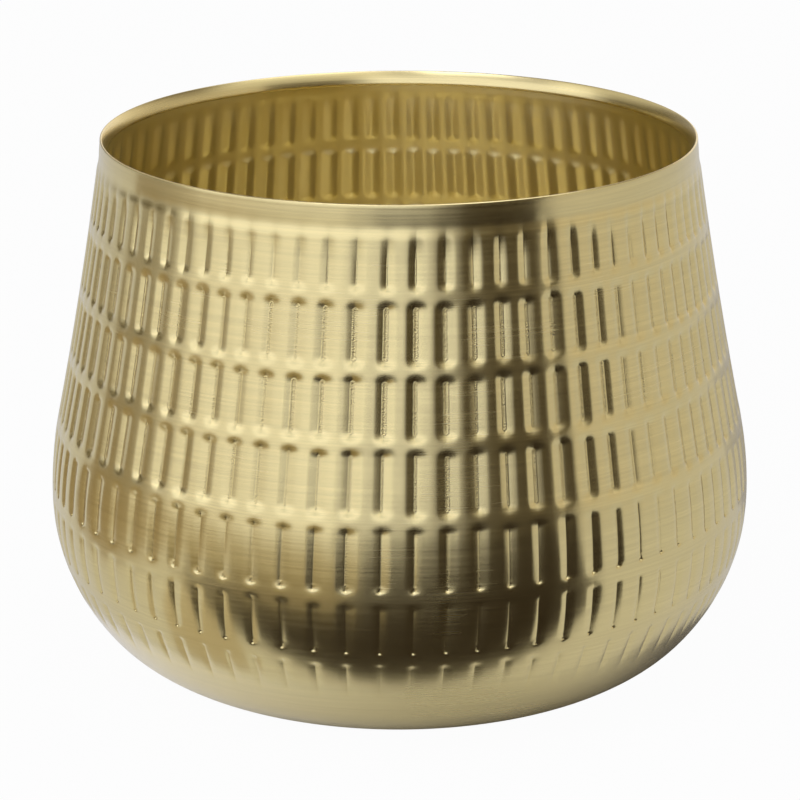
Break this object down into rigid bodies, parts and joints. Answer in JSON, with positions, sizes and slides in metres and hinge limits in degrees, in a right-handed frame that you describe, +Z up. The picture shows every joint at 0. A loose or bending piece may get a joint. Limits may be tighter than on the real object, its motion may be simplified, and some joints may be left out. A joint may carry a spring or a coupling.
{
  "type": "cachepot",
  "caption": "Open round vase-shaped cachepot of hammered sheet brass, widest below the middle, with a hemmed rim, a flat base plate and pads under its foot ring.",
  "frame": {"origin": "on the ground under the middle of the pot, level with the underside of the pads", "axes": "+Z up along the pot's axis, -Y towards the front of the picture, +X to its right"},
  "size_m": [0.2506, 0.2508, 0.191],
  "materials": {
    "brass_wall": "satin, finely brushed round the pot, pressed dents",
    "brass_plate": "satin, spun rings",
    "pad_rubber": "matt"
  },
  "bodies": {
    "root": {"pot_wall": "brass_wall", "base_plate": "brass_plate", "foot_pad_1": "pad_rubber", "foot_pad_2": "pad_rubber", "foot_pad_3": "pad_rubber", "foot_pad_4": "pad_rubber"}
  },
  "joints": []
}
